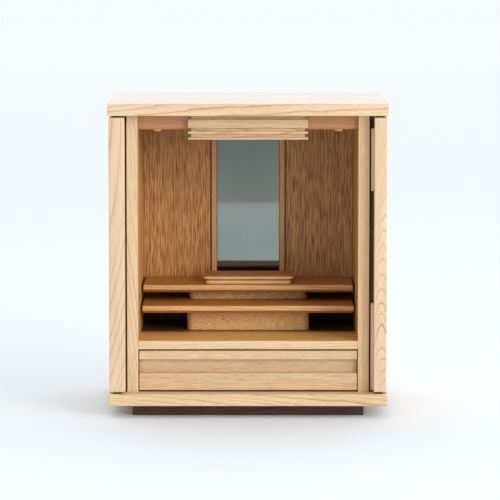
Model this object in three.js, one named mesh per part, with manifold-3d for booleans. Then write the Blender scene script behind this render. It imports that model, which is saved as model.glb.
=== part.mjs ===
// Household altar cabinet: a light ash case on a dark plinth, with two doors folded back along its sides,
// a drawer, a mirror niche, a stepped stand and a small pedestal. Millimetres, +Z up, front towards -Y.
// The origin is on the floor under the middle of the case.

import * as THREE from 'three';
import { ConvexGeometry } from 'three/addons/geometries/ConvexGeometry.js';
import { mergeVertices } from 'three/addons/utils/BufferGeometryUtils.js';
import Module from 'manifold-3d';

const wasm = await Module();
wasm.setup();

// Case
const WIDTH = 360;
const CAVITY_DEPTH = 220;
const REAR_OVERHANG = 9;
const BOARD = 15.5;
const BOARD_ARRIS = 0.8;
const SIDE_PANEL = 14.5;
const PANEL_ARRIS = 0.5;
const DRAWER_BAY_HEIGHT = 55.5;
const FLOOR_BOARD = 11;
const ALTAR_HEIGHT = 292.5;

// Plinth
const PLINTH_HEIGHT = 16;
const PLINTH_INSET_SIDE = 30;
const PLINTH_INSET_FRONT = 28;
const PLINTH_INSET_REAR = 28;
const PLINTH_ARRIS = 0.5;

// Doors
const DOOR_THICKNESS = 20;
const DOOR_ARRIS = 1;
const DOOR_EDGE_MARGIN = 1.5;
const DOOR_FRONT_MARGIN = 0.5;
const DOOR_PANEL_GAP = 2;
const DOOR_POST_GAP = 1.5;
const DOOR_MEETING_GAP = 1.5;
const DOOR_TOP_GAP = 2.2;
const DOOR_BOTTOM_GAP = 2.6;
const PULL_LENGTH = 146;
const PULL_WIDTH = 18;
const PULL_DEPTH = 8;
const PULL_EDGE_MARGIN = 14;
const PULL_RAISE = 9;
const REBATED_DOOR = 'right';
const REBATE_WIDTH = 3.8;
const REBATE_DEPTH = 18;
const RECESS_DEPTH = 34;
const RECESS_TOP_HEIGHT = 15;
const PIVOT_RADIUS = 3;
const PIVOT_LENGTH_IN_BOARD = 8;
const PIVOT_LENGTH_IN_DOOR = 14;
const PIVOT_COLLAR_RADIUS = 6;
const PIVOT_COLLAR_CLEARANCE = 0.3;
const PIVOT_RUNNING_CLEARANCE = 0.09;
const PIVOT_END_CLEARANCE = 0.5;
const PIVOT_SEAT_CLEARANCE = 0.05;

// Back
const BACK_PANEL = 9;
const REAR_BOARD = 5;
const REAR_LIP = 3;
const NICHE_HALF_WIDTH = 51.5;
const SHADOW_GAP = 2;
const BATTEN_WIDTH = 7;
const BATTEN_SETBACK = 1;
const MIRROR_SETBACK = 5;
const MIRROR_SIDE_CLEARANCE = 0.5;
const MIRROR_TOP_CLEARANCE = 1;

// Head
const LINTEL_HEIGHT = 19.1;
const LINTEL_THICKNESS = 12;
const LINTEL_SETBACK = 8;
const LINTEL_CHAMFER = 2.5;
const BUTTON_RADIUS = 5.5;
const BUTTON_DROP = 2.2;
const BUTTON_INSET = 25;
const HEADER_HALF_WIDTH = 77.1;
const HEADER_GROOVE_DEPTH = 3.8;
const HEADER_TOP_GROOVE = 5.8;
const HEADER_SLATS = [10.9, 3, 2.7];
const HEADER_GROOVES = [4.5, 4.8];

// Drawer
const DRAWER_TOP_GAP = 1.9;
const DRAWER_BOTTOM_GAP = 2.2;
const DRAWER_SIDE_GAP = 1;
const DRAWER_FRONT = 16;
const DRAWER_STRIP = 11.1;
const DRAWER_BAND = 18;
const DRAWER_BAND_DEPTH = 9;
const DRAWER_WALL = 8;
const DRAWER_WALL_HEIGHT = 44;
const DRAWER_BOX_CLEARANCE = 1.5;
const DRAWER_REAR_SPACE = 24;
const DRAWER_BOTTOM = 4;
const DRAWER_BOTTOM_RAISE = 5;
const DRAWER_ARRIS = 0.6;

// Stepped stand
const SHELF_SIDE_CLEARANCE = 3;
const STAND_REAR_CLEARANCE = 1;
const SHELF_THICKNESS = 10;
const SHELF_EDGE = 6.2;
const SHELF_BEVEL_DEPTH = 6;
const LOWER_SHELF_DEPTH = 146;
const UPPER_SHELF_DEPTH = 105;
const BLOCK_CORNER = 9;
const LOWER_BLOCK_HALF_WIDTH = 81;
const LOWER_BLOCK_HEIGHT = 26.8;
const LOWER_BLOCK_SETBACK = 37;
const UPPER_BLOCK_HALF_WIDTH = 79;
const UPPER_BLOCK_HEIGHT = 12.8;
const UPPER_BLOCK_SETBACK = 36.4;

// Pedestal
const PEDESTAL_HALF_WIDTH = 60;
const PEDESTAL_DEPTH = 73;
const PEDESTAL_SETBACK = 9.5;
const PEDESTAL_CORNER = 6.5;
const PEDESTAL_PLATE = 3.4;
const PEDESTAL_BASE = 4.7;
const PEDESTAL_BASE_INSET = 2.7;
const PEDESTAL_NECK = 2.1;
const PEDESTAL_NECK_INSET = 5.2;

const ROUND_STEPS = 32;
const CORNER_STEPS = 6;
const CUT_OVERRUN = 1;

// Places worked out from the sizes above
const postSetback = DOOR_FRONT_MARGIN + DOOR_THICKNESS + DOOR_POST_GAP;
const panelDepth = CAVITY_DEPTH + BACK_PANEL + REAR_BOARD + REAR_LIP;
const depth = postSetback + panelDepth + REAR_OVERHANG;
const front = -depth / 2;
const postFront = front + postSetback;
const backFace = postFront + CAVITY_DEPTH;
const rearBoardFront = backFace + BACK_PANEL;
const panelOuter = WIDTH / 2 - DOOR_EDGE_MARGIN - DOOR_THICKNESS - DOOR_PANEL_GAP;
const panelInner = panelOuter - SIDE_PANEL;
const bottomTop = PLINTH_HEIGHT + BOARD;
const floorUnder = bottomTop + DRAWER_BAY_HEIGHT;
const floorTop = floorUnder + FLOOR_BOARD;
const ceiling = floorTop + ALTAR_HEIGHT;

const material = {
  ash: () => new THREE.MeshStandardMaterial({ color: 0xe6c69c, roughness: 0.5, metalness: 0 }),
  warmAsh: () => new THREE.MeshStandardMaterial({ color: 0xc99a6a, roughness: 0.5, metalness: 0 }),
  walnut: () => new THREE.MeshStandardMaterial({ color: 0x4a342b, roughness: 0.55, metalness: 0 }),
  mirror: () => new THREE.MeshStandardMaterial({ color: 0x9aa29c, roughness: 0.08, metalness: 1 }),
  metal: () => new THREE.MeshStandardMaterial({ color: 0x4c4640, roughness: 0.4, metalness: 1 }),
};

const cabinet = new THREE.Group();

function addPiece(parent, name, geometry, finish) {
  const mesh = new THREE.Mesh(geometry, finish());
  mesh.name = name;
  parent.add(mesh);
  return mesh;
}

// A box between two corners whose edges are cut back by arris. run is 'all' for a free piece, or the axis
// along which the piece butts against its neighbours, so that only the edges on that axis are cut.
function easedBox(low, high, arris, run = 'all') {
  const points = [];
  const axis = { x: 0, y: 1, z: 2 }[run];
  for (const corner of [0, 1, 2, 3, 4, 5, 6, 7]) {
    const pick = [corner & 1, (corner >> 1) & 1, (corner >> 2) & 1];
    for (let kept = 0; kept < 3; kept += 1) {
      if (kept === axis) continue;
      const point = pick.map((side, k) => {
        const cut = k === kept || k === axis ? 0 : arris;
        return side ? high[k] - cut : low[k] + cut;
      });
      points.push(new THREE.Vector3(...point));
    }
  }
  return new ConvexGeometry(points);
}

function plainBox(low, high) {
  const size = high.map((value, k) => value - low[k]);
  const geometry = new THREE.BoxGeometry(...size);
  geometry.translate(...low.map((value, k) => value + size[k] / 2));
  return geometry;
}

// A rectangle with rounded corners in plan, standing from z = low to z = high.
function roundedBlock(halfWidth, yFront, yBack, radius, low, high) {
  const shape = new THREE.Shape();
  const corners = [
    [halfWidth - radius, yFront + radius, -Math.PI / 2],
    [halfWidth - radius, yBack - radius, 0],
    [-halfWidth + radius, yBack - radius, Math.PI / 2],
    [-halfWidth + radius, yFront + radius, Math.PI],
  ];
  for (const [x, y, start] of corners) {
    shape.absarc(x, y, radius, start, start + Math.PI / 2, false);
  }
  const geometry = new THREE.ExtrudeGeometry(shape, {
    depth: high - low, bevelEnabled: false, curveSegments: CORNER_STEPS,
  });
  geometry.translate(0, 0, low);
  return geometry;
}

// A profile of [y, z] points drawn out along X between two ends.
function profileAlongX(profile, xLow, xHigh) {
  const shape = new THREE.Shape(profile.map(([y, z]) => new THREE.Vector2(y, z)));
  const geometry = new THREE.ExtrudeGeometry(shape, { depth: xHigh - xLow, bevelEnabled: false });
  geometry.applyMatrix4(new THREE.Matrix4().makeBasis(
    new THREE.Vector3(0, 1, 0), new THREE.Vector3(0, 0, 1), new THREE.Vector3(1, 0, 0)));
  geometry.translate(xLow, 0, 0);
  return geometry;
}

// An upright round bar.
function roundBar(x, y, radius, low, high) {
  const geometry = new THREE.CylinderGeometry(radius, radius, high - low, ROUND_STEPS);
  geometry.rotateX(Math.PI / 2);
  geometry.translate(x, y, (low + high) / 2);
  return geometry;
}

function toSolid(geometry) {
  const bare = geometry.clone();
  bare.deleteAttribute('normal');
  bare.deleteAttribute('uv');
  const merged = mergeVertices(bare, 1e-4);
  const mesh = new wasm.Mesh({
    numProp: 3,
    vertProperties: new Float32Array(merged.attributes.position.array),
    triVerts: new Uint32Array(merged.index.array),
  });
  return new wasm.Manifold(mesh);
}

function toGeometry(solid) {
  const mesh = solid.getMesh();
  const geometry = new THREE.BufferGeometry();
  geometry.setAttribute('position', new THREE.BufferAttribute(new Float32Array(mesh.vertProperties), 3));
  geometry.setIndex(new THREE.BufferAttribute(new Uint32Array(mesh.triVerts), 1));
  geometry.computeVertexNormals();
  return geometry;
}

const cut = (base, ...tools) =>
  toGeometry(tools.reduce((solid, tool) => solid.subtract(toSolid(tool)), toSolid(base)));
const join = (...pieces) => toGeometry(pieces.map(toSolid).reduce((solid, piece) => solid.add(piece)));

const SIDES = [['left', -1], ['right', 1]];

// The low and high x of a stretch that runs from inner to outer on one side of the middle.
const spanX = (side, inner, outer) => (side < 0 ? [-outer, -inner] : [inner, outer]);

// Door pivots: the axis is half a door thickness in from the door's hinge edge and from its faces
const pivotX = WIDTH / 2 - DOOR_EDGE_MARGIN - DOOR_THICKNESS / 2;
const pivotY = front + DOOR_FRONT_MARGIN + DOOR_THICKNESS / 2;
const doorLow = bottomTop + DOOR_BOTTOM_GAP;
const doorHigh = ceiling - DOOR_TOP_GAP;
const doorWidth = WIDTH / 2 - DOOR_EDGE_MARGIN - DOOR_MEETING_GAP / 2;

// A polygon's flats lie inside its corners, so a bore's corners stand further out than its flats
const flatShare = Math.cos(Math.PI / ROUND_STEPS);
const pivotBore = (PIVOT_RADIUS + PIVOT_RUNNING_CLEARANCE) / flatShare;
const pivotSeat = (PIVOT_RADIUS + PIVOT_SEAT_CLEARANCE) / flatShare;

function addBoards() {
  const reach = PIVOT_LENGTH_IN_BOARD + PIVOT_END_CLEARANCE;
  const bores = (low, high) => SIDES.map(([, side]) => roundBar(side * pivotX, pivotY, pivotBore, low, high));
  const boards = [
    ['bottom_board', PLINTH_HEIGHT, bores(bottomTop - reach, bottomTop + CUT_OVERRUN)],
    ['top_board', ceiling, bores(ceiling - CUT_OVERRUN, ceiling + reach)],
  ];
  for (const [name, low, holes] of boards) {
    const board = easedBox([-WIDTH / 2, front, low], [WIDTH / 2, front + depth, low + BOARD], BOARD_ARRIS);
    addPiece(cabinet, name, cut(board, ...holes), material.ash);
  }
  addPiece(cabinet, 'plinth', easedBox(
    [-WIDTH / 2 + PLINTH_INSET_SIDE, front + PLINTH_INSET_FRONT, 0],
    [WIDTH / 2 - PLINTH_INSET_SIDE, front + depth - PLINTH_INSET_REAR, PLINTH_HEIGHT],
    PLINTH_ARRIS), material.walnut);
}

function addCase() {
  for (const [name, side] of SIDES) {
    const [low, high] = spanX(side, panelInner, panelOuter);
    addPiece(cabinet, `side_panel_${name}`, easedBox(
      [low, postFront, bottomTop], [high, postFront + panelDepth, ceiling], PANEL_ARRIS, 'z'), material.ash);
  }
  addPiece(cabinet, 'floor_board', easedBox(
    [-panelInner, postFront, floorUnder], [panelInner, rearBoardFront, floorTop], PANEL_ARRIS, 'x'),
  material.ash);
  addPiece(cabinet, 'rear_board', plainBox(
    [-panelInner, rearBoardFront, bottomTop], [panelInner, rearBoardFront + REAR_BOARD, ceiling]),
  material.warmAsh);
}

function addBack() {
  const battenOuter = NICHE_HALF_WIDTH - SHADOW_GAP;
  const battenInner = battenOuter - BATTEN_WIDTH;
  for (const [name, side] of SIDES) {
    const [panelLow, panelHigh] = spanX(side, NICHE_HALF_WIDTH, panelInner);
    addPiece(cabinet, `back_panel_${name}`, easedBox(
      [panelLow, backFace, floorTop], [panelHigh, rearBoardFront, ceiling], PANEL_ARRIS, 'z'),
    material.warmAsh);
    const [battenLow, battenHigh] = spanX(side, battenInner, battenOuter);
    addPiece(cabinet, `mirror_batten_${name}`, easedBox(
      [battenLow, backFace + BATTEN_SETBACK, floorTop], [battenHigh, rearBoardFront, ceiling],
      PANEL_ARRIS, 'z'), material.warmAsh);
  }
  const mirrorHalf = battenInner - MIRROR_SIDE_CLEARANCE;
  addPiece(cabinet, 'mirror', plainBox(
    [-mirrorHalf, backFace + MIRROR_SETBACK, floorTop],
    [mirrorHalf, rearBoardFront, ceiling - MIRROR_TOP_CLEARANCE]), material.mirror);
}

function addHead() {
  const lintelFront = postFront + LINTEL_SETBACK;
  const lintelBack = lintelFront + LINTEL_THICKNESS;
  const lintelUnder = ceiling - LINTEL_HEIGHT;
  addPiece(cabinet, 'lintel', profileAlongX([
    [lintelFront, lintelUnder + LINTEL_CHAMFER],
    [lintelFront + LINTEL_CHAMFER, lintelUnder],
    [lintelBack, lintelUnder],
    [lintelBack, ceiling],
    [lintelFront, ceiling],
  ], -panelInner, panelInner), material.warmAsh);
  const buttonX = panelInner - BUTTON_INSET;
  const buttonY = (lintelFront + LINTEL_CHAMFER + lintelBack) / 2;
  for (const [name, side] of SIDES) {
    addPiece(cabinet, `lintel_button_${name}`, roundBar(
      side * buttonX, buttonY, BUTTON_RADIUS, lintelUnder - BUTTON_DROP, lintelUnder), material.warmAsh);
  }
  const headerDrop = HEADER_TOP_GROOVE + HEADER_SLATS.reduce((sum, value) => sum + value, 0)
    + HEADER_GROOVES.reduce((sum, value) => sum + value, 0);
  const coreHalf = HEADER_HALF_WIDTH - HEADER_GROOVE_DEPTH;
  const pieces = [plainBox([-coreHalf, postFront + HEADER_GROOVE_DEPTH, ceiling - headerDrop],
    [coreHalf, lintelFront, ceiling])];
  let level = ceiling - HEADER_TOP_GROOVE;
  HEADER_SLATS.forEach((slat, index) => {
    pieces.push(plainBox([-HEADER_HALF_WIDTH, postFront, level - slat],
      [HEADER_HALF_WIDTH, lintelFront, level]));
    level -= slat + (HEADER_GROOVES[index] ?? 0);
  });
  addPiece(cabinet, 'header', join(...pieces), material.ash);
}

function addShelf(name, top, shelfDepth) {
  const rear = backFace - STAND_REAR_CLEARANCE;
  const edge = rear - shelfDepth;
  const half = panelInner - SHELF_SIDE_CLEARANCE;
  addPiece(cabinet, name, profileAlongX([
    [edge, top - SHELF_EDGE],
    [edge + SHELF_BEVEL_DEPTH, top - SHELF_THICKNESS],
    [rear, top - SHELF_THICKNESS],
    [rear, top],
    [edge, top],
  ], -half, half), material.ash);
  return edge;
}

function addStand() {
  const rear = backFace - STAND_REAR_CLEARANCE;
  const lowerBlockTop = floorTop + LOWER_BLOCK_HEIGHT;
  const lowerTop = lowerBlockTop + SHELF_THICKNESS;
  const upperBlockTop = lowerTop + UPPER_BLOCK_HEIGHT;
  const upperTop = upperBlockTop + SHELF_THICKNESS;
  const lowerEdge = addShelf('lower_shelf', lowerTop, LOWER_SHELF_DEPTH);
  const upperEdge = addShelf('upper_shelf', upperTop, UPPER_SHELF_DEPTH);
  addPiece(cabinet, 'lower_block', roundedBlock(
    LOWER_BLOCK_HALF_WIDTH, lowerEdge + LOWER_BLOCK_SETBACK, rear, BLOCK_CORNER, floorTop, lowerBlockTop),
  material.ash);
  addPiece(cabinet, 'upper_block', roundedBlock(
    UPPER_BLOCK_HALF_WIDTH, upperEdge + UPPER_BLOCK_SETBACK, rear, BLOCK_CORNER, lowerTop, upperBlockTop),
  material.ash);

  const plateFront = upperEdge + PEDESTAL_SETBACK;
  const plateBack = plateFront + PEDESTAL_DEPTH;
  const neckLow = upperTop + PEDESTAL_BASE;
  const plateLow = neckLow + PEDESTAL_NECK;
  const tier = (inset, low, high) => roundedBlock(PEDESTAL_HALF_WIDTH - inset, plateFront + inset,
    plateBack - inset, PEDESTAL_CORNER, low, high);
  addPiece(cabinet, 'pedestal_base', join(
    tier(PEDESTAL_BASE_INSET, upperTop, neckLow),
    tier(PEDESTAL_NECK_INSET, neckLow, plateLow)), material.ash);
  addPiece(cabinet, 'pedestal_plate', tier(0, plateLow, plateLow + PEDESTAL_PLATE), material.ash);
}

function addDrawer() {
  const half = panelInner - DRAWER_SIDE_GAP;
  const low = bottomTop + DRAWER_BOTTOM_GAP;
  const high = floorUnder - DRAWER_TOP_GAP;
  const frontBack = postFront + DRAWER_FRONT;
  const bandHigh = high - DRAWER_STRIP;
  const bandCut = plainBox([-half - CUT_OVERRUN, postFront - CUT_OVERRUN, bandHigh - DRAWER_BAND],
    [half + CUT_OVERRUN, postFront + DRAWER_BAND_DEPTH, bandHigh]);
  addPiece(cabinet, 'drawer_front', cut(
    easedBox([-half, postFront, low], [half, frontBack, high], DRAWER_ARRIS), bandCut), material.ash);

  const boxOuter = panelInner - DRAWER_BOX_CLEARANCE;
  const boxInner = boxOuter - DRAWER_WALL;
  const boxRear = rearBoardFront - DRAWER_REAR_SPACE;
  const wallTop = bottomTop + DRAWER_WALL_HEIGHT;
  for (const [name, side] of SIDES) {
    const [xLow, xHigh] = spanX(side, boxInner, boxOuter);
    addPiece(cabinet, `drawer_side_${name}`, plainBox(
      [xLow, frontBack, bottomTop], [xHigh, boxRear, wallTop]), material.warmAsh);
  }
  addPiece(cabinet, 'drawer_back', plainBox(
    [-boxInner, boxRear - DRAWER_WALL, bottomTop + DRAWER_BOTTOM_RAISE], [boxInner, boxRear, wallTop]),
  material.warmAsh);
  const bottomLow = bottomTop + DRAWER_BOTTOM_RAISE;
  addPiece(cabinet, 'drawer_bottom', plainBox(
    [-boxInner, frontBack, bottomLow], [boxInner, boxRear - DRAWER_WALL, bottomLow + DRAWER_BOTTOM]),
  material.warmAsh);
}

// A pivot pin: a collar in the gap between door and board, with one shank in each. The shank in the board
// starts at level and runs along direction, up or down.
function pivotPin(x, level, direction, gap) {
  const steps = [
    [0, -gap - PIVOT_LENGTH_IN_DOOR],
    [PIVOT_RADIUS, -gap - PIVOT_LENGTH_IN_DOOR],
    [PIVOT_RADIUS, -gap],
    [PIVOT_COLLAR_RADIUS, -gap],
    [PIVOT_COLLAR_RADIUS, -PIVOT_COLLAR_CLEARANCE],
    [PIVOT_RADIUS, -PIVOT_COLLAR_CLEARANCE],
    [PIVOT_RADIUS, PIVOT_LENGTH_IN_BOARD],
    [0, PIVOT_LENGTH_IN_BOARD],
  ];
  const geometry = new THREE.LatheGeometry(steps.map(([r, z]) => new THREE.Vector2(r, z)), ROUND_STEPS);
  geometry.rotateX(direction > 0 ? Math.PI / 2 : -Math.PI / 2);
  geometry.translate(x, pivotY, level);
  return geometry;
}

function addDoors() {
  const hingeEdge = front + DOOR_FRONT_MARGIN;
  const freeEdge = hingeEdge + doorWidth;
  const pullMiddle = (doorLow + doorHigh) / 2 + PULL_RAISE;
  for (const [name, side] of SIDES) {
    const inner = pivotX - DOOR_THICKNESS / 2;
    const [low, high] = spanX(side, inner, inner + DOOR_THICKNESS);
    const pullX = spanX(side, inner - CUT_OVERRUN, inner + PULL_DEPTH);
    const pullFar = freeEdge - PULL_EDGE_MARGIN;
    const recesses = [fingerSlot(pullX, pullFar - PULL_WIDTH, pullFar, pullMiddle)];
    if (name === REBATED_DOOR) {
      const rebateX = spanX(side, inner - CUT_OVERRUN, inner + REBATE_WIDTH);
      recesses.push(...hingeEdgeCuts(rebateX, hingeEdge, pullMiddle));
    }
    const seatDepth = PIVOT_LENGTH_IN_DOOR + PIVOT_END_CLEARANCE;
    const seats = [
      roundBar(side * pivotX, pivotY, pivotSeat, doorLow - CUT_OVERRUN, doorLow + seatDepth),
      roundBar(side * pivotX, pivotY, pivotSeat, doorHigh - seatDepth, doorHigh + CUT_OVERRUN),
    ];
    addPiece(cabinet, `door_${name}`, cut(
      easedBox([low, hingeEdge, doorLow], [high, freeEdge, doorHigh], DOOR_ARRIS), ...recesses, ...seats),
    material.ash);
    addPiece(cabinet, `door_pivot_${name}_top`,
      pivotPin(side * pivotX, ceiling, 1, DOOR_TOP_GAP), material.metal);
    addPiece(cabinet, `door_pivot_${name}_bottom`,
      pivotPin(side * pivotX, bottomTop, -1, DOOR_BOTTOM_GAP), material.metal);
  }
}

// The rebate along the hinge edge of one door's outer face, and the deeper recesses behind it: a long one
// for the fingers beside the finger slot and a short one at the top.
function hingeEdgeCuts([xLow, xHigh], hingeEdge, middle) {
  const spans = [
    [REBATE_DEPTH, doorLow - CUT_OVERRUN, doorHigh + CUT_OVERRUN],
    [RECESS_DEPTH, middle - PULL_LENGTH / 2, middle + PULL_LENGTH / 2],
    [RECESS_DEPTH, doorHigh - RECESS_TOP_HEIGHT, doorHigh + CUT_OVERRUN],
  ];
  return spans.map(([reach, low, high]) => plainBox(
    [xLow, hingeEdge - CUT_OVERRUN, low], [xHigh, hingeEdge + reach, high]));
}

// An upright finger slot with round ends, to be cut into the door's outer face.
function fingerSlot([xLow, xHigh], yLow, yHigh, middle) {
  const radius = (yHigh - yLow) / 2;
  const yMid = (yLow + yHigh) / 2;
  const straight = PULL_LENGTH / 2 - radius;
  const shape = new THREE.Shape();
  shape.absarc(yMid, middle + straight, radius, 0, Math.PI, false);
  shape.absarc(yMid, middle - straight, radius, Math.PI, 2 * Math.PI, false);
  const geometry = new THREE.ExtrudeGeometry(shape, {
    depth: xHigh - xLow, bevelEnabled: false, curveSegments: 2 * CORNER_STEPS,
  });
  geometry.applyMatrix4(new THREE.Matrix4().makeBasis(
    new THREE.Vector3(0, 1, 0), new THREE.Vector3(0, 0, 1), new THREE.Vector3(1, 0, 0)));
  geometry.translate(xLow, 0, 0);
  return geometry;
}

addBoards();
addCase();
addBack();
addHead();
addStand();
addDrawer();
addDoors();

export default cabinet;
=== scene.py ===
import math

import bpy
import numpy as np
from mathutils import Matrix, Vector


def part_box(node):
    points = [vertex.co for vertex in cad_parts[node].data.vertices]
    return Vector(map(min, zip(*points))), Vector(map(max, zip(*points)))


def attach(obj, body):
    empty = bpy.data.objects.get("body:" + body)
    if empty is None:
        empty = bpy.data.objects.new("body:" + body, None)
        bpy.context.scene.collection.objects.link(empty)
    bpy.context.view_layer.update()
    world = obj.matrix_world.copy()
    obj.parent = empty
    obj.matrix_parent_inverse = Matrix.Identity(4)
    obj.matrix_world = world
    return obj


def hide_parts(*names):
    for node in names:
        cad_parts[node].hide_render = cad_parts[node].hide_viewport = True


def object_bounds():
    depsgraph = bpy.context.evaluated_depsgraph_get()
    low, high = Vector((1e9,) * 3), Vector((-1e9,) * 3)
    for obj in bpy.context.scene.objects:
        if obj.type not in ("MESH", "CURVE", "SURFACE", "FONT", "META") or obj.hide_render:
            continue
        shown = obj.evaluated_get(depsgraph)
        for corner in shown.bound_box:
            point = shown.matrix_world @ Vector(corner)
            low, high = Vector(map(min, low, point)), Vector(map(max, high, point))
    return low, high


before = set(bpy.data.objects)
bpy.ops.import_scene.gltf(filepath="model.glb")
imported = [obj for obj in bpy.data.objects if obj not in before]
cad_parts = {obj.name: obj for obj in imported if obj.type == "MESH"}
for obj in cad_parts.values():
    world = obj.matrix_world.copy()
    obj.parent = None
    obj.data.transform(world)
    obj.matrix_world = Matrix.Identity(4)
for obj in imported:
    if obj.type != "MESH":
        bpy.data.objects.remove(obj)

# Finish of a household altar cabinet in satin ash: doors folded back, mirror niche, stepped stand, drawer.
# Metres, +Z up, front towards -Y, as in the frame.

cad_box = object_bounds()
MM = 0.001
FRONT = cad_box[0][1]

# Camera: the photograph's place and angle, worked out from the two boards' edges
FRAME_PIXELS = 500
SENSOR_MM = 36.0
FOCAL_PIXELS = 3152.0
CAMERA_SIDE = 2.55 * MM
CAMERA_AHEAD_OF_FRONT = 4021.5 * MM
CAMERA_HEIGHT = 637.0 * MM
CAMERA_PITCH = math.radians(5.94)
CAMERA_REACH = 60.0


def add_camera():
    """A camera that looks along +Y and a little down, as the photograph does."""
    data = bpy.data.cameras.new("camera")
    data.sensor_width = SENSOR_MM
    data.lens = FOCAL_PIXELS * SENSOR_MM / FRAME_PIXELS
    data.clip_end = CAMERA_REACH
    camera = bpy.data.objects.new("camera", data)
    camera.location = (CAMERA_SIDE, FRONT - CAMERA_AHEAD_OF_FRONT, CAMERA_HEIGHT)
    camera.rotation_euler = (math.pi / 2 - CAMERA_PITCH, 0.0, 0.0)
    bpy.context.scene.collection.objects.link(camera)
    bpy.context.scene.camera = camera


NODE_SPACING = 180.0


class Nodes:
    """Adds nodes to one shader tree and links them."""

    def __init__(self, tree):
        self.tree = tree
        self.column = 0

    def add(self, kind, **values):
        node = self.tree.nodes.new(kind)
        for key, value in values.items():
            setattr(node, key, value)
        self.column += 1
        node.location = (self.column * NODE_SPACING, 0.0)
        return node

    def feed(self, node, **inputs):
        """Sets or links inputs by name; a name's underscores stand for spaces."""
        for key, value in inputs.items():
            self.put(node.inputs[key.replace("_", " ")], value)
        return node

    def put(self, socket, value):
        if isinstance(value, bpy.types.NodeSocket):
            self.tree.links.new(value, socket)
        else:
            socket.default_value = value

    def math(self, operation, *values, clamp=False):
        node = self.add("ShaderNodeMath", operation=operation, use_clamp=clamp)
        for socket, value in zip(node.inputs, values):
            self.put(socket, value)
        return node.outputs[0]

    def vector(self, operation, *values):
        node = self.add("ShaderNodeVectorMath", operation=operation)
        for socket, value in zip(node.inputs, values):
            self.put(socket, value)
        return node.outputs[0]

    def noise(self, vector, scale, detail=2.0, roughness=0.5, dimensions="3D"):
        node = self.add("ShaderNodeTexNoise", noise_dimensions=dimensions)
        key = "W" if dimensions == "1D" else "Vector"
        self.put(node.inputs[key], vector)
        self.feed(node, Scale=scale, Detail=detail, Roughness=roughness)
        return node.outputs["Fac"]

    def remap(self, value, low, high, to_low=0.0, to_high=1.0):
        node = self.add("ShaderNodeMapRange")
        for socket, number in zip(node.inputs, (value, low, high, to_low, to_high)):
            self.put(socket, number)
        return node.outputs[0]

    def mix(self, share, first, second, blend="MIX"):
        node = self.add("ShaderNodeMix", data_type="RGBA", blend_type=blend)
        sockets = [s for s in node.inputs if s.type == "RGBA"]
        self.put(node.inputs[0], share)
        self.put(sockets[0], first)
        self.put(sockets[1], second)
        return next(s for s in node.outputs if s.type == "RGBA")


def new_group(name, inputs, outputs):
    """A shader node group; inputs are (name, kind, default) and outputs (name, kind)."""
    tree = bpy.data.node_groups.new(name, "ShaderNodeTree")
    for label, kind, default in inputs:
        made = tree.interface.new_socket(name=label, in_out="INPUT", socket_type=f"NodeSocket{kind}")
        if default is not None:
            made.default_value = default
    for label, kind in outputs:
        tree.interface.new_socket(name=label, in_out="OUTPUT", socket_type=f"NodeSocket{kind}")
    nodes = Nodes(tree)
    return tree, nodes, nodes.add("NodeGroupInput").outputs, nodes.add("NodeGroupOutput").inputs


# Timber figure: noise cells per metre, along the grain and across it
SLOW_BEND = (2.2, 9.0)
QUICK_BEND = (26.0, 110.0)
FIBRE_CELLS = (14.0, 520.0)
TONE_CELLS = (3.0, 60.0)
HUE_CELLS = (7.0, 34.0)

# Timber figure: how uneven the rings are, how strong, and how their dark fades
RINGS_PER_SWELL = 0.35
SWELL_RINGS = 1.6
RINGS_PER_STRENGTH = 0.21
RING_STRENGTH = (0.55, 1.0)
LINE_SHARE = 0.8
EARLY_SHARE = 0.2
EARLY_POWER = 4.0
FRINGE_START = 0.94
FRINGE_MOST = 0.6

# Timber figure: how much the pores crowd at a ring, and the noise that becomes a pore
PORE_CROWD = 0.10
PORE_THINNING = -0.03
PORE_EDGES = (0.40, 0.66)

# The middle of a noise's range, wide and narrow
MIDDLE_WIDE = (0.3, 0.7)
MIDDLE = (0.35, 0.65)


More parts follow.
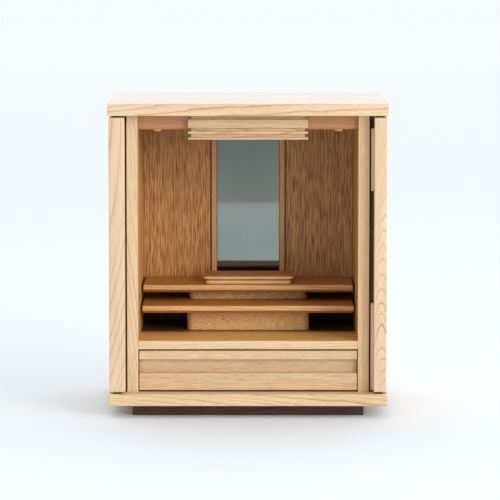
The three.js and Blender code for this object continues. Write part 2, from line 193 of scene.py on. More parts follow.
def make_timber_figure():
    """Growth rings round a pith that runs along X, cut by whatever surface asks.

    A point's ring number is its distance from the pith, plus a taper along the grain and a slow wander, over
    the ring width. The pith itself bows sideways with the square of the way from Bow Place. Ring is a thin
    dark line where a ring starts, with a soft tail; Pores are dashes along the grain, Streak wide, Reach
    times as long and crowded where a ring starts; Fibre is fine streaks, Tone slow drifts of brightness and
    Hue of colour."""
    tree, n, given, out = new_group(
        "timber_figure",
        [("Vector", "Vector", None), ("Ring Width", "Float", 0.002), ("Taper", "Float", 0.02),
         ("Wander", "Float", 0.01), ("Ripple", "Float", 0.12), ("Bow", "Float", 0.0),
         ("Bow Place", "Float", 0.0), ("Line", "Float", 0.2), ("Streak", "Float", 0.001),
         ("Reach", "Float", 12.0), ("Seed", "Float", 0.0)],
        [("Ring", "Float"), ("Pores", "Float"), ("Fibre", "Float"), ("Tone", "Float"), ("Hue", "Float")])
    place = given["Vector"]
    shift = n.add("ShaderNodeCombineXYZ")
    for socket in shift.inputs:
        n.put(socket, given["Seed"])
    seeded = n.vector("ADD", place, shift.outputs[0])

    def stretched(along, across):
        return n.vector("MULTIPLY", seeded, (along, across, across))

    parts = n.add("ShaderNodeSeparateXYZ")
    n.put(parts.inputs[0], place)
    run = n.math("SUBTRACT", parts.outputs[0], given["Bow Place"])
    bow = n.math("MULTIPLY", n.math("MULTIPLY", run, run), given["Bow"])
    flat = n.add("ShaderNodeCombineXYZ")
    n.put(flat.inputs[1], n.math("SUBTRACT", parts.outputs[1], bow))
    n.put(flat.inputs[2], parts.outputs[2])
    length = n.add("ShaderNodeVectorMath", operation="LENGTH")
    n.put(length.inputs[0], flat.outputs[0])
    slow = n.math("SUBTRACT", n.noise(stretched(*SLOW_BEND), 1.0), 0.5)
    quick = n.math("SUBTRACT", n.noise(stretched(*QUICK_BEND), 1.0), 0.5)
    bend = n.math("ADD", slow, n.math("MULTIPLY", quick, given["Ripple"]))
    distance = n.math("ADD", length.outputs["Value"], n.math("MULTIPLY", parts.outputs[0], given["Taper"]))
    distance = n.math("ADD", distance, n.math("MULTIPLY", bend, given["Wander"]))
    count = n.math("DIVIDE", distance, given["Ring Width"])
    swell_place = n.math("ADD", n.math("MULTIPLY", count, RINGS_PER_SWELL), given["Seed"])
    swell = n.noise(swell_place, 1.0, 1.0, dimensions="1D")
    count = n.math("ADD", count, n.math("MULTIPLY", swell, SWELL_RINGS))
    phase = n.math("FRACT", count)
    strength_place = n.math("ADD", n.math("MULTIPLY", count, RINGS_PER_STRENGTH), given["Seed"])
    strength = n.noise(strength_place, 1.0, 1.0, dimensions="1D")
    line = n.remap(phase, 0.0, given["Line"], 1.0, 0.0)
    line = n.math("MULTIPLY", line, line)
    early = n.math("POWER", n.math("SUBTRACT", 1.0, phase), EARLY_POWER)
    fringe = n.remap(phase, FRINGE_START, 1.0, 0.0, FRINGE_MOST)
    tail = n.math("ADD", n.math("MULTIPLY", line, LINE_SHARE), n.math("MULTIPLY", early, EARLY_SHARE))
    ring = n.math("MULTIPLY", n.math("MAXIMUM", tail, fringe),
                  n.remap(strength, *MIDDLE_WIDE, *RING_STRENGTH), clamp=True)
    n.put(out["Ring"], ring)

    squeeze = n.add("ShaderNodeCombineXYZ")
    n.put(squeeze.inputs[0], n.math("DIVIDE", 1.0, given["Reach"]))
    for socket in list(squeeze.inputs)[1:]:
        n.put(socket, 1.0)
    dash_place = n.add("ShaderNodeVectorMath", operation="SCALE")
    n.put(dash_place.inputs[0], n.vector("MULTIPLY", seeded, squeeze.outputs[0]))
    n.put(dash_place.inputs["Scale"], n.math("DIVIDE", 1.0, given["Streak"]))
    dash = n.noise(dash_place.outputs[0], 1.0, 1.5)
    crowd = n.math("MULTIPLY_ADD", ring, PORE_CROWD, PORE_THINNING)
    n.put(out["Pores"], n.remap(n.math("ADD", dash, crowd), *PORE_EDGES))
    n.put(out["Fibre"], n.noise(stretched(*FIBRE_CELLS), 1.0, 3.0, 0.6))
    n.put(out["Tone"], n.noise(stretched(*TONE_CELLS), 1.0, 2.0))
    n.put(out["Hue"], n.noise(stretched(*HUE_CELLS), 1.0, 1.0))
    return tree


SMEAR_CELLS = 38.0
ROUGHNESS_DRIFT = 0.03
RING_SINK = 0.25


def make_satin_skin():
    """Roughness and relief of a satin lacquer over open pores.

    Roughness drifts a little and rises in the pores; Height sinks in the pores and a little in the rings."""
    tree, n, given, out = new_group(
        "satin_skin",
        [("Vector", "Vector", None), ("Pores", "Float", 0.0), ("Ring", "Float", 0.0),
         ("Base Roughness", "Float", 0.4), ("Pore Roughness", "Float", 0.2)],
        [("Roughness", "Float"), ("Height", "Float")])
    smear = n.noise(given["Vector"], SMEAR_CELLS, 3.0)
    drift = n.remap(smear, *MIDDLE, -ROUGHNESS_DRIFT, ROUGHNESS_DRIFT)
    porous = n.math("MULTIPLY_ADD", given["Pores"], given["Pore Roughness"], given["Base Roughness"])
    n.put(out["Roughness"], n.math("ADD", porous, drift))
    sunk = n.math("MULTIPLY", given["Pores"], -1.0)
    n.put(out["Height"], n.math("ADD", sunk, n.math("MULTIPLY", given["Ring"], -RING_SINK)))
    return tree


# Colour and most share of the painted shade
SHADE_COLOUR = (0.030, 0.014, 0.008, 1.0)
SHADE_SHARE = 0.88


def make_deep_shade():
    """Painted shade: wood darkened where little light gets in.

    The share of the shade colour grows evenly from none at Clear to its most at Deep."""
    tree, n, given, out = new_group(
        "deep_shade",
        [("Color", "Color", None), ("Place", "Float", 0.0), ("Clear", "Float", 0.0), ("Deep", "Float", 1.0)],
        [("Color", "Color")])
    share = n.remap(given["Place"], given["Clear"], given["Deep"], 0.0, SHADE_SHARE)
    n.put(out["Color"], n.mix(share, given["Color"], SHADE_COLOUR))
    return tree


TIMBER_FIGURE = make_timber_figure()
SATIN_SKIN = make_satin_skin()
DEEP_SHADE = make_deep_shade()

# Timber colours, linear: light wood, ring line, pore
ASH = ((0.720, 0.530, 0.342), (0.370, 0.200, 0.092), (0.430, 0.260, 0.130))
PALE_ASH = ((0.610, 0.480, 0.330), (0.400, 0.225, 0.105), (0.430, 0.260, 0.130))
# SHADED_ASH: the ash made lighter and warmer as painted bounce light on the right post, which the right door
# shades
SHADED_ASH = ((0.820, 0.540, 0.300), (0.420, 0.220, 0.095), (0.430, 0.240, 0.110))
BOARD_ASH = ((0.770, 0.560, 0.345), (0.400, 0.200, 0.075), (0.430, 0.245, 0.110))
DRAWER_ASH = ((0.675, 0.465, 0.272), (0.360, 0.205, 0.095), (0.340, 0.200, 0.100))
# INNER_ASH to WARM_ASH: the same ash deepened to orange and brown as painted shade and warm bounce light
# inside the case
INNER_ASH = ((0.720, 0.420, 0.180), (0.350, 0.155, 0.045), (0.330, 0.150, 0.050))
BLOCK_ASH = ((0.980, 0.620, 0.265), (0.500, 0.230, 0.070), (0.300, 0.125, 0.040))
PEDESTAL_ASH = ((0.815, 0.500, 0.220), (0.380, 0.170, 0.050), (0.330, 0.150, 0.050))
GOLDEN_ASH = ((0.860, 0.490, 0.150), (0.380, 0.160, 0.040), (0.350, 0.150, 0.040))
HONEY_ASH = ((0.550, 0.240, 0.056), (0.360, 0.130, 0.025), (0.340, 0.130, 0.030))
WARM_ASH = ((0.660, 0.358, 0.135), (0.290, 0.115, 0.030), (0.230, 0.088, 0.020))
ROSY_ASH = ((0.510, 0.245, 0.115), (0.330, 0.135, 0.055), (0.310, 0.130, 0.050))
WALNUT = ((0.078, 0.036, 0.023), (0.024, 0.010, 0.006), (0.016, 0.007, 0.004))
CHANNEL_BIAS = (0.7, 1.0, 1.35)
REDDER = (1.01, 0.985, 0.98, 1.0)
GREENER = (0.99, 1.01, 1.0, 1.0)
PORE_RELIEF = 0.06 * MM
RELIEF_STRENGTH = 0.6
SATIN = 0.42
DULL = 0.5
COAT_ROUGHNESS = 0.22
FACE_SHARE = 0.75


def start_material(name):
    """A new material, its node helper and its Principled shader."""
    material = bpy.data.materials.new(name)
    material.use_nodes = True
    material.node_tree.nodes.clear()
    nodes = Nodes(material.node_tree)
    shader = nodes.add("ShaderNodeBsdfPrincipled")
    output = nodes.add("ShaderNodeOutputMaterial")
    nodes.put(output.inputs["Surface"], shader.outputs[0])
    return material, nodes, shader


def one_axis(n, output, axis):
    """One component of a Texture Coordinate output, by the number of its axis."""
    parts = n.add("ShaderNodeSeparateXYZ")
    n.put(parts.inputs[0], n.add("ShaderNodeTexCoord").outputs[output])
    return parts.outputs[axis]


def grain_space(n, order, pith):
    """Object coordinates with the grain along X and the pith on the X axis; order names the axes."""
    place = n.add("ShaderNodeTexCoord").outputs["Object"]
    parts = n.add("ShaderNodeSeparateXYZ")
    n.put(parts.inputs[0], place)
    turned = n.add("ShaderNodeCombineXYZ")
    for socket, axis in zip(turned.inputs, order):
        n.put(socket, parts.outputs["XYZ".index(axis.upper())])
    mapping = n.add("ShaderNodeMapping")
    n.put(mapping.inputs["Vector"], turned.outputs[0])
    mapping.inputs["Location"].default_value = (0.0, -pith[0], -pith[1])
    return mapping.outputs[0]


FIGURE = {
    "ring": 1.9 * MM, "taper": 0.012, "wander": 10 * MM, "ripple": 0.12, "bow": 0.0, "bow_place": 0.0,
    "line": 0.2, "streak": 1.0 * MM, "reach": 12.0, "seed": 0.0,
}
SHARES = {"ring_share": 0.7, "pore_share": 0.3, "tone_share": 0.07}


def figure(n, order, pith, cut):
    """The timber figure in grain space: its outputs and the place they were read at."""
    place = grain_space(n, order, pith)
    values = {**FIGURE, **{key: value for key, value in cut.items() if key in FIGURE}}
    group = n.add("ShaderNodeGroup", node_tree=TIMBER_FIGURE)
    n.feed(group, Vector=place, Ring_Width=values["ring"], Taper=values["taper"], Wander=values["wander"],
           Ripple=values["ripple"], Bow=values["bow"], Bow_Place=values["bow_place"], Line=values["line"],
           Streak=values["streak"], Reach=values["reach"], Seed=values["seed"])
    return group.outputs, place


def timber_colour(n, read, colours, cut):
    """Light wood darkened in its rings, then in its pores, and varied by fibre, tone and hue."""
    shares = {**SHARES, **{key: value for key, value in cut.items() if key in SHARES}}
    light, dark, pore = [(*c, 1.0) for c in colours]
    colour = n.mix(n.math("MULTIPLY", read["Ring"], shares["ring_share"]), light, dark)
    colour = n.mix(n.math("MULTIPLY", read["Pores"], shares["pore_share"]), colour, pore)
    share = shares["tone_share"]
    fibre = n.remap(read["Fibre"], *MIDDLE_WIDE, 1.0 - share, 1.0 + share)
    tone = n.remap(read["Tone"], *MIDDLE_WIDE, 1.0 - share, 1.0 + share)
    level = n.math("MULTIPLY", fibre, tone)
    shade = n.add("ShaderNodeCombineColor")
    for socket, bias in zip(shade.inputs, CHANNEL_BIAS):
        n.put(socket, n.math("POWER", level, bias))
    tint = n.mix(n.remap(read["Hue"], *MIDDLE), REDDER, GREENER)
    return n.mix(1.0, n.mix(1.0, colour, shade.outputs[0], blend="MULTIPLY"), tint, blend="MULTIPLY")


def finish_timber(n, shader, colour, read, place, roughness):
    """Links colour, satin roughness and pore relief to the material's shader."""
    skin = n.add("ShaderNodeGroup", node_tree=SATIN_SKIN)
    n.feed(skin, Vector=place, Pores=read["Pores"], Ring=read["Ring"], Base_Roughness=roughness)
    bump = n.add("ShaderNodeBump")
    n.feed(bump, Strength=RELIEF_STRENGTH, Distance=PORE_RELIEF, Height=skin.outputs["Height"])
    n.feed(shader, Base_Color=colour, Roughness=skin.outputs["Roughness"], Normal=bump.outputs[0])


def shade_colour(n, colour, axis, clear, deep, end=None):
    """Colour under a painted shade that grows from clear to deep, two places along one axis.

    With an end, only surfaces before it that face the axis's low side are shaded."""
    place = one_axis(n, "Object", axis)
    if end is not None:
        faces_low = n.math("LESS_THAN", one_axis(n, "Normal", axis), -FACE_SHARE)
        kept = n.math("MULTIPLY", faces_low, n.math("LESS_THAN", place, end))
        place = n.math("MULTIPLY_ADD", n.math("SUBTRACT", place, clear), kept, clear)
    group = n.add("ShaderNodeGroup", node_tree=DEEP_SHADE)
    n.feed(group, Color=colour, Place=place, Clear=clear, Deep=deep)
    return group.outputs["Color"]


def timber(name, colours, order, pith, roughness=SATIN, shaded=None, **cut):
    """One board's own cut of timber, in satin lacquer; shaded is what shade_colour takes, if shaded."""
    material, n, shader = start_material(name)
    read, place = figure(n, order, pith, cut)
    colour = timber_colour(n, read, colours, cut)
    if shaded:
        colour = shade_colour(n, colour, *shaded)
    finish_timber(n, shader, colour, read, place, roughness)
    return material


def faced_timber(name, axis, edge, face, coat=0.0, facing=0.0, shaded=None):
    """A board whose faces across one axis show another cut than its edges, as a lipped door's do.

    edge and face are each (colours, order, pith, cut); axis is the number of the faces' normal axis; coat is
    the share of a clear top coat; facing is 0 for both faces, or the sign of the one that shows face; shaded
    is what shade_colour takes, if shaded. Roughness and relief follow the face's figure all over."""
    material, n, shader = start_material(name)
    shader.inputs["Coat Weight"].default_value = coat
    shader.inputs["Coat Roughness"].default_value = COAT_ROUGHNESS
    normal = one_axis(n, "Normal", axis)
    along = n.math("MULTIPLY", normal, facing) if facing else n.math("ABSOLUTE", normal)
    is_face = n.math("GREATER_THAN", along, FACE_SHARE)
    shown = []
    for colours, order, pith, cut in (edge, face):
        read, place = figure(n, order, pith, cut)
        shown.append(timber_colour(n, read, colours, cut))
    colour = n.mix(is_face, *shown)
    if shaded:
        colour = shade_colour(n, colour, *shaded)
    finish_timber(n, shader, colour, read, place, SATIN)
    return material


# Mirror glass and bronzed steel
CLOUD_CELLS = 24.0
GLASS_COLOURS = ((0.235, 0.262, 0.242, 1.0), (0.252, 0.280, 0.258, 1.0))
GLASS_ROUGHNESS = (0.02, 0.035)
METAL_STRETCH = (1.0, 1.0, 40.0)
METAL_CELLS = 260.0
METAL_COLOURS = ((0.045, 0.036, 0.030, 1.0), (0.085, 0.068, 0.055, 1.0))
METAL_ROUGHNESS = (0.34, 0.48)


def make_mirror_glass():
    """A grey green mirror pane with a faint cloudiness."""
    material, n, shader = start_material("mirror_glass")
    place = n.add("ShaderNodeTexCoord").outputs["Object"]
    cloud = n.remap(n.noise(place, CLOUD_CELLS, 3.0), *MIDDLE)
    n.feed(shader, Base_Color=n.mix(cloud, *GLASS_COLOURS),
           Roughness=n.remap(cloud, 0.0, 1.0, *GLASS_ROUGHNESS))
    shader.inputs["Metallic"].default_value = 1.0
    return material


def make_dark_metal():
    """Bronzed steel, brushed round its axis."""
    material, n, shader = start_material("dark_metal")
    place = n.vector("MULTIPLY", n.add("ShaderNodeTexCoord").outputs["Object"], METAL_STRETCH)
    streak = n.noise(place, METAL_CELLS, 2.0)
    n.feed(shader, Base_Color=n.mix(streak, *METAL_COLOURS),
           Roughness=n.remap(streak, *MIDDLE_WIDE, *METAL_ROUGHNESS))
    shader.inputs["Metallic"].default_value = 1.0
    return material


SIDES = (("left", -1.0), ("right", 1.0))
TOP_COAT = 0.75

# Where painted shade turns from clear to deep: back from the lower shelf's front, up from its underside, and
# back from the cabinet's front, with the place where it ends
FLOOR_SHADE = (6 * MM, 34 * MM)
PANEL_SHADE = (26 * MM, -2 * MM)
RECESS_SHADE = (20 * MM, 30 * MM, 60 * MM)


def make_materials():
    """Every piece's own cut of timber, by node name."""
    made = {}
    top_cut = {"seed": 1.3, "ring": 2.8 * MM, "taper": 0.02, "wander": 18 * MM, "ring_share": 0.8,
               "line": 0.3}
    made["top_board"] = faced_timber(
        "ash_top_board", 2, (BOARD_ASH, "xyz", (0.02, 0.45), top_cut),
        (PALE_ASH, "xyz", (0.02, 0.45), top_cut), coat=TOP_COAT)
    made["bottom_board"] = timber("ash_bottom_board", BOARD_ASH, "xyz", (-0.11, 0.005), seed=4.1,
                                  ring=3.2 * MM, taper=0.035, wander=22 * MM, ring_share=1.0, line=0.3)
    floor_edge = (BOARD_ASH, "xyz", (-0.09, 0.12), {"seed": 6.4, "ring": 2.8 * MM, "taper": 0.02,
                                                    "ring_share": 1.0, "line": 0.3})
    # The floor board's top takes GOLDEN_ASH, deeper than its edge, as painted shade and bounce light inside
    # the case
    floor_top = (GOLDEN_ASH, "xyz", (0.03, 0.2), {"seed": 6.9, "wander": 14 * MM})
    _, shelf_front, shelf_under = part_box("lower_shelf")[0]
    floor_shade = (1, *(shelf_front + step for step in FLOOR_SHADE))
    panel_shade = (2, *(shelf_under + step for step in PANEL_SHADE))
    recess_shade = (1, *(FRONT + step for step in RECESS_SHADE))
    # Painted shade darkens the floor board behind the lower shelf's front
    made["floor_board"] = faced_timber("ash_floor_board", 2, floor_edge, floor_top, shaded=floor_shade)
    made["header"] = timber("ash_header", DRAWER_ASH, "xyz", (-0.12, 0.37), seed=8.8, ring=2.2 * MM,
                            taper=0.04, wander=16 * MM, ring_share=1.0, line=0.3)
    made["lintel"] = timber("ash_lintel", ROSY_ASH, "xyz", (0.02, 0.3), seed=9.2, streak=1.5 * MM)
    made["drawer_front"] = timber("ash_drawer_front", DRAWER_ASH, "xyz", (-0.04, 0.25), seed=11.0,
                                  ring=1.6 * MM, streak=1.1 * MM, pore_share=0.4, ring_share=0.5)
    for name, seed in (("lower_shelf", 14.2), ("upper_shelf", 15.7)):
        edge = (INNER_ASH, "xyz", (0.05, -0.05 + seed * 0.01), {"seed": seed, "ring": 2.4 * MM,
                                                               "taper": 0.02, "line": 0.4, "ring_share": 1.0})
        # A shelf's top takes HONEY_ASH, darker than its edge, as painted shade inside the case
        top = (HONEY_ASH, "xyz", (0.05, 0.3), {"seed": seed + 0.5})
        made[name] = faced_timber(f"ash_{name}", 2, edge, top)
    # The blocks' deep orange BLOCK_ASH is painted warm bounce light and shade of the case's inside
    for name, seed in (("lower_block", 17.1), ("upper_block", 18.3)):
        made[name] = timber(f"ash_{name}", BLOCK_ASH, "xyz", (0.02, 0.02 + seed * 0.01), seed=seed,
                            streak=0.5 * MM, ripple=0.3, pore_share=0.8, wander=16 * MM, ring_share=0.7)
    for name, seed in (("pedestal_base", 19.9), ("pedestal_plate", 21.4)):
        edge = (PEDESTAL_ASH, "xyz", (0.02, 0.02 + seed * 0.01), {"seed": seed})
        # The pedestal's top takes HONEY_ASH, darker than its edges, as painted shade; both are deepened as
        # painted shade inside the case
        top = (HONEY_ASH, "xyz", (0.02, 0.02 + seed * 0.01), {"seed": seed})
        made[name] = faced_timber(f"ash_{name}", 2, edge, top)
    post_cut = {"line": 0.35, "streak": 1.2 * MM, "pore_share": 0.25}
    # The right post takes SHADED_ASH, painted bounce light in the right door's shadow
    posts = ((ASH, 23.0, {"ring": 6.2 * MM, "taper": 0.13, "ring_share": 0.7}),
             (SHADED_ASH, 26.0, {"ring": 1.8 * MM, "taper": 0.02, "ring_share": 0.5}))
    for (name, side), (colours, seed, cut) in zip(SIDES, posts):
        post = (colours, "zxy", (side * 0.20, -0.09), {**post_cut, **cut, "seed": seed})
        # The side panel's inner wall takes WARM_ASH, painted shade inside the case; its outer face keeps the
        # post's ash
        wall = (WARM_ASH, "zyx", (0.02, side * 0.3), {"seed": seed + 0.5, "streak": 1.6 * MM})
        made[f"side_panel_{name}"] = faced_timber(f"ash_side_panel_{name}", 0, post, wall, facing=-side)
        # The back panels take WARM_ASH, painted shade inside the case, with more painted shade below the
        # lower shelf
        made[f"back_panel_{name}"] = timber(
            f"ash_back_panel_{name}", WARM_ASH, "zxy", (side * 0.45, 0.13), roughness=DULL, seed=seed + 1.0,
            streak=0.75 * MM, reach=28.0, ring=3.6 * MM, wander=2 * MM, taper=0.002, line=0.6, ring_share=0.3,
            pore_share=1.0, shaded=panel_shade)
        # Battens and buttons take INNER_ASH, the ash deepened as painted shade inside the case
        made[f"mirror_batten_{name}"] = timber(
            f"ash_mirror_batten_{name}", INNER_ASH, "zxy", (side * 0.09, 0.2), seed=seed + 2.0)
        made[f"lintel_button_{name}"] = timber(
            f"ash_lintel_button_{name}", INNER_ASH, "zxy", (side * 0.1, 0.0), seed=seed + 3.0)
    face = {"ring": 2.2 * MM, "taper": 0.02, "wander": 16 * MM}
    left_edge = (ASH, "zxy", (-0.182, FRONT + 0.016), {
        "seed": 28.4, "ring": 8.0 * MM, "taper": -0.090, "wander": 5 * MM, "ripple": 0.6, "bow": -0.5,
        "bow_place": 0.30, "line": 0.13, "ring_share": 1.0, "pore_share": 0.12})
    right_edge = (ASH, "zxy", (0.171, FRONT + 0.022), {
        "seed": 38.0, "ring": 1.5 * MM, "taper": 0.078, "wander": 4 * MM, "ripple": 0.35, "bow": 0.4,
        "bow_place": 0.15, "line": 0.18, "ring_share": 1.0, "pore_share": 0.12})
    made["door_left"] = faced_timber(
        "ash_door_left", 0, left_edge, (ASH, "zyx", (-0.04, -0.26), {**face, "seed": 28.0}))
    # Painted shade darkens the right door's hinge-edge recess and its shoulder
    made["door_right"] = faced_timber(
        "ash_door_right", 0, right_edge, (ASH, "zyx", (-0.04, 0.26), {**face, "seed": 31.0}),
        shaded=recess_shade)
    # The rear board and the drawer box take WARM_ASH, painted shade inside the case
    made["rear_board"] = timber("ash_rear_board", WARM_ASH, "zxy", (0.02, 0.42), seed=31.0, streak=2.0 * MM)
    plain = timber("ash_drawer_box", WARM_ASH, "yxz", (0.0, 0.2), seed=33.0)
    for name in ("drawer_side_left", "drawer_side_right", "drawer_back", "drawer_bottom"):
        made[name] = plain
    made["plinth"] = timber("walnut_plinth", WALNUT, "xyz", (0.0, 0.12), roughness=DULL, seed=35.0,
                            streak=2.0 * MM, ring_share=0.9, pore_share=0.6, tone_share=0.2)
    made["mirror"] = make_mirror_glass()
    metal = make_dark_metal()
    for name, _ in SIDES:
        for end in ("top", "bottom"):
            made[f"door_pivot_{name}_{end}"] = metal
    return made


# Widths of the arrises in millimetres: pieces with their own, then the default for the others
ARRIS = {
    "top_board": 0.35, "bottom_board": 0.35, "door_left": 0.45, "door_right": 0.45, "plinth": 0.2,
    "header": 0.35, "lower_shelf": 0.6, "upper_shelf": 0.6, "drawer_front": 0.3,
}
ARRIS_DEFAULT = 0.25
ARRIS_STEPS = 2
WELD_DISTANCE = 0.005 * MM
SHARP_EDGE = math.radians(20.0)


def dress(node, material):
    """Gives a CAD node its material and rounds its arrises."""
    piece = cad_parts[node]
    piece.data.materials.clear()
    piece.data.materials.append(material)
    weld = piece.modifiers.new("weld", "WELD")
    weld.merge_threshold = WELD_DISTANCE
    bevel = piece.modifiers.new("arris", "BEVEL")
    bevel.width = ARRIS.get(node, ARRIS_DEFAULT) * MM
    bevel.segments = ARRIS_STEPS
    bevel.limit_method = "ANGLE"
    bevel.angle_limit = SHARP_EDGE
    bevel.use_clamp_overlap = True


def mesh_piece(name, rings, material, body, node):
    """A closed piece from rings of points, (ring, point, 3): quads between rings and a cap on each end."""
    count, around = rings.shape[:2]
    points = rings.reshape(-1, 3)
    index = np.arange(count * around).reshape(count, around)
    here = index[:-1]
    above = index[1:]
    quads = np.stack([here, np.roll(here, -1, 1), np.roll(above, -1, 1), above], axis=-1).reshape(-1, 4)
    faces = quads.tolist() + [index[0][::-1].tolist(), index[-1].tolist()]
    mesh = bpy.data.meshes.new(name)
    mesh.from_pydata(points.tolist(), [], faces)
    mesh.materials.append(material)
    mesh.shade_smooth()
    mesh.update()
    piece = bpy.data.objects.new(name, mesh)
    bpy.context.scene.collection.objects.link(piece)
    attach(piece, body)
    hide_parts(node)
    return piece


# Points on a plan's corner, and on a profile's quarter round
CORNER_STEPS = 14
EASE_STEPS = 5


def rounded_plan(low, high, radius):
    """Points and outward directions round a rectangle with round corners, seen from above.

    Each corner is a quarter circle of the given radius about a centre that far inside both sides."""
    turn = np.linspace(0.0, np.pi / 2, CORNER_STEPS)
    corners = ((1, -1, -np.pi / 2), (1, 1, 0.0), (-1, 1, np.pi / 2), (-1, -1, np.pi))
    middle = (np.array(low) + np.array(high)) / 2
    half = (np.array(high) - np.array(low)) / 2 - radius
    angle = np.concatenate([turn + start for _, _, start in corners])
    centre = np.repeat([[sx * half[0], sy * half[1]] for sx, sy, _ in corners], CORNER_STEPS, axis=0)
    centre = centre + middle
    outward = np.stack([np.cos(angle), np.sin(angle)], axis=1)
    return centre + outward * radius, outward


def eased_profile(low, high, ease):
    """(inset, height) pairs up one side: a quarter round at the foot, a straight rise, one at the top."""
    turn = np.linspace(0.0, np.pi / 2, EASE_STEPS)
    foot = np.stack([ease * (1 - np.sin(turn)), low + ease * (1 - np.cos(turn))], axis=1)
    top = np.stack([ease * (1 - np.cos(turn)), high - ease * (1 - np.sin(turn))], axis=1)
    return np.concatenate([foot, top])


def rounded_rings(low, high, corner, profile):
    """A rounded plan carried up a profile: each ring is the plan drawn in by the profile's inset."""
    plan, outward = rounded_plan(low[:2], high[:2], corner)
    inset = profile[:, 0][:, None, None]
    flat = plan[None] - outward[None] * inset
    height = np.broadcast_to(profile[:, 1][:, None, None], flat.shape[:2] + (1,))
    return np.concatenate([flat, height], axis=2)


BLOCK_CORNER = 9.0 * MM
PLATE_CORNER = 6.5 * MM
BLOCK_EASE = 0.8 * MM
PLATE_EASE = 1.0 * MM
BASE_HEIGHT = 4.7 * MM
NECK_INSET = 2.5 * MM
NECK_BOTTOM = 0.25 * MM
BUTTON_EASE = 1.2 * MM


def add_stand_pieces(materials):
    """The stepped stand's round-cornered blocks and the pedestal, whose base narrows under its plate."""
    for node in ("lower_block", "upper_block"):
        low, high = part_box(node)
        profile = eased_profile(low.z, high.z, BLOCK_EASE)
        mesh_piece(f"{node}_wood", rounded_rings(low, high, BLOCK_CORNER, profile), materials[node],
                   "cabinet", node)
    low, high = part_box("pedestal_plate")
    profile = eased_profile(low.z, high.z, PLATE_EASE)
    mesh_piece("pedestal_plate_wood", rounded_rings(low, high, PLATE_CORNER, profile),
               materials["pedestal_plate"], "cabinet", "pedestal_plate")
    low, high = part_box("pedestal_base")
    shoulder = low.z + BASE_HEIGHT
    foot = eased_profile(low.z, shoulder, PLATE_EASE)
    neck = np.array([[NECK_INSET, shoulder + NECK_BOTTOM], [NECK_INSET, high.z]])
    mesh_piece("pedestal_base_wood", rounded_rings(low, high, PLATE_CORNER, np.concatenate([foot, neck])),
               materials["pedestal_base"], "cabinet", "pedestal_base")


def add_buttons(materials):
    """The two round buttons under the lintel, with a soft lower rim and a flat top against the lintel."""
    for name, _ in SIDES:
        node = f"lintel_button_{name}"
        low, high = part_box(node)
        profile = eased_profile(low.z, high.z, BUTTON_EASE)
        profile = profile[profile[:, 1] < high.z - BUTTON_EASE * 0.5]
        profile = np.concatenate([profile, [[0.0, high.z]]])
        mesh_piece(f"{node}_wood", rounded_rings(low, high, (high.x - low.x) / 2, profile), materials[node],
                   "cabinet", node)


# Studio floor: its reach to each side, its near and far ends, and where and how its colour changes
FLOOR_SIDE = 14.0
FLOOR_NEAR = -2.78
FLOOR_FAR = 16.0
FLOOR_FADE = (3.0, 11.0)
FLOOR_COLOURS = ((0.815, 0.865, 0.910, 1.0), (0.89, 0.92, 0.95, 1.0))
FLOOR_ROUGHNESS = 0.8


def add_floor():
    """A pale studio floor that ends ahead of the camera, so that the mirror sees it stop."""
    mesh = bpy.data.meshes.new("studio_floor")
    corners = [(-FLOOR_SIDE, FLOOR_NEAR, 0), (FLOOR_SIDE, FLOOR_NEAR, 0),
               (FLOOR_SIDE, FLOOR_FAR, 0), (-FLOOR_SIDE, FLOOR_FAR, 0)]
    mesh.from_pydata(corners, [], [(0, 1, 2, 3)])
    material, n, shader = start_material("studio_floor")
    share = n.remap(one_axis(n, "Object", 1), *FLOOR_FADE)
    n.feed(shader, Base_Color=n.mix(share, *FLOOR_COLOURS), Roughness=FLOOR_ROUGHNESS)
    mesh.materials.append(material)
    floor = bpy.data.objects.new("studio_floor", mesh)
    bpy.context.scene.collection.objects.link(floor)


# Lamps: where they stand and look, in metres, their sides and their power
LIGHT_TARGET = (0.0, 0.0, 0.2)
KEY_PLACE = (4.6, -5.6, 2.0)
KEY_SIZE = (3.2, 3.2)
KEY_WATTS = 312.0
KEY_COLOUR = (1.0, 0.98, 0.955)
SIDE_PLACE = (4.2, -1.0, 1.0)
SIDE_SIZE = (1.2, 1.6)
SIDE_WATTS = 24.0


def add_light(name, place, size, power, colour=(1.0, 1.0, 1.0)):
    """A rectangular lamp that looks at LIGHT_TARGET."""
    data = bpy.data.lights.new(name, "AREA")
    data.shape = "RECTANGLE"
    data.size, data.size_y = size
    data.energy = power
    data.color = colour
    lamp = bpy.data.objects.new(name, data)
    lamp.location = place
    aim = np.array(LIGHT_TARGET) - np.array(place)
    flat = math.hypot(aim[0], aim[1])
    lamp.rotation_euler = (math.atan2(flat, -aim[2]), 0.0, math.atan2(aim[1], aim[0]) - math.pi / 2)
    bpy.context.scene.collection.objects.link(lamp)
    return lamp


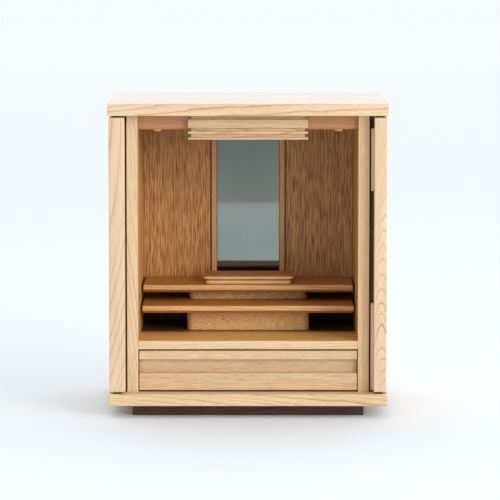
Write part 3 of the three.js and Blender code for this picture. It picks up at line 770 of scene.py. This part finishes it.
# The room's brightness in front, by a direction's height: from, to, low, high. Behind it has one level
ROOM_RISE = (-0.03, 0.25, 0.48, 0.84)
ROOM_TABLE = (-0.09, -0.062, 0.24, 0.0)
ROOM_BEHIND = (-0.1, 0.3)
ROOM_BEHIND_LEVEL = 1.3
ROOM_TINT = (0.97, 0.985, 1.0, 1.0)
BACKDROP = (0.925, 0.965, 1.0, 1.0)


def add_world():
    """A soft white room. The camera sees it plain; what it lights and mirrors dims below the horizon."""
    world = bpy.data.worlds.new("studio")
    bpy.context.scene.world = world
    world.use_nodes = True
    world.node_tree.nodes.clear()
    n = Nodes(world.node_tree)
    direction = n.add("ShaderNodeTexCoord").outputs["Generated"]
    parts = n.add("ShaderNodeSeparateXYZ")
    n.put(parts.inputs[0], direction)
    rise = n.remap(parts.outputs[2], *ROOM_RISE)
    table = n.remap(parts.outputs[2], *ROOM_TABLE)
    ahead = n.math("ADD", rise, table)
    behind = (ROOM_BEHIND_LEVEL, ROOM_BEHIND_LEVEL, ROOM_BEHIND_LEVEL, 1.0)
    level = n.mix(n.remap(parts.outputs[1], *ROOM_BEHIND), ahead, behind)
    glow = n.mix(1.0, level, ROOM_TINT, blend="MULTIPLY")
    seen = n.add("ShaderNodeLightPath").outputs["Is Camera Ray"]
    colour = n.mix(seen, glow, BACKDROP)
    background = n.add("ShaderNodeBackground")
    n.put(background.inputs["Color"], colour)
    background.inputs["Strength"].default_value = 1.0
    output = n.add("ShaderNodeOutputWorld")
    n.put(output.inputs["Surface"], background.outputs[0])


def add_studio():
    """The room, the floor, a wide key light from the right and a small one beside the object."""
    add_world()
    add_floor()
    key = add_light("key", KEY_PLACE, KEY_SIZE, KEY_WATTS, KEY_COLOUR)
    key.visible_glossy = False
    add_light("side", SIDE_PLACE, SIDE_SIZE, SIDE_WATTS)
    scene = bpy.context.scene
    scene.view_settings.view_transform = "Standard"
    scene.view_settings.look = "None"


add_camera()
materials = make_materials()
for node_name, node_material in materials.items():
    dress(node_name, node_material)
add_stand_pieces(materials)
add_buttons(materials)
add_studio()
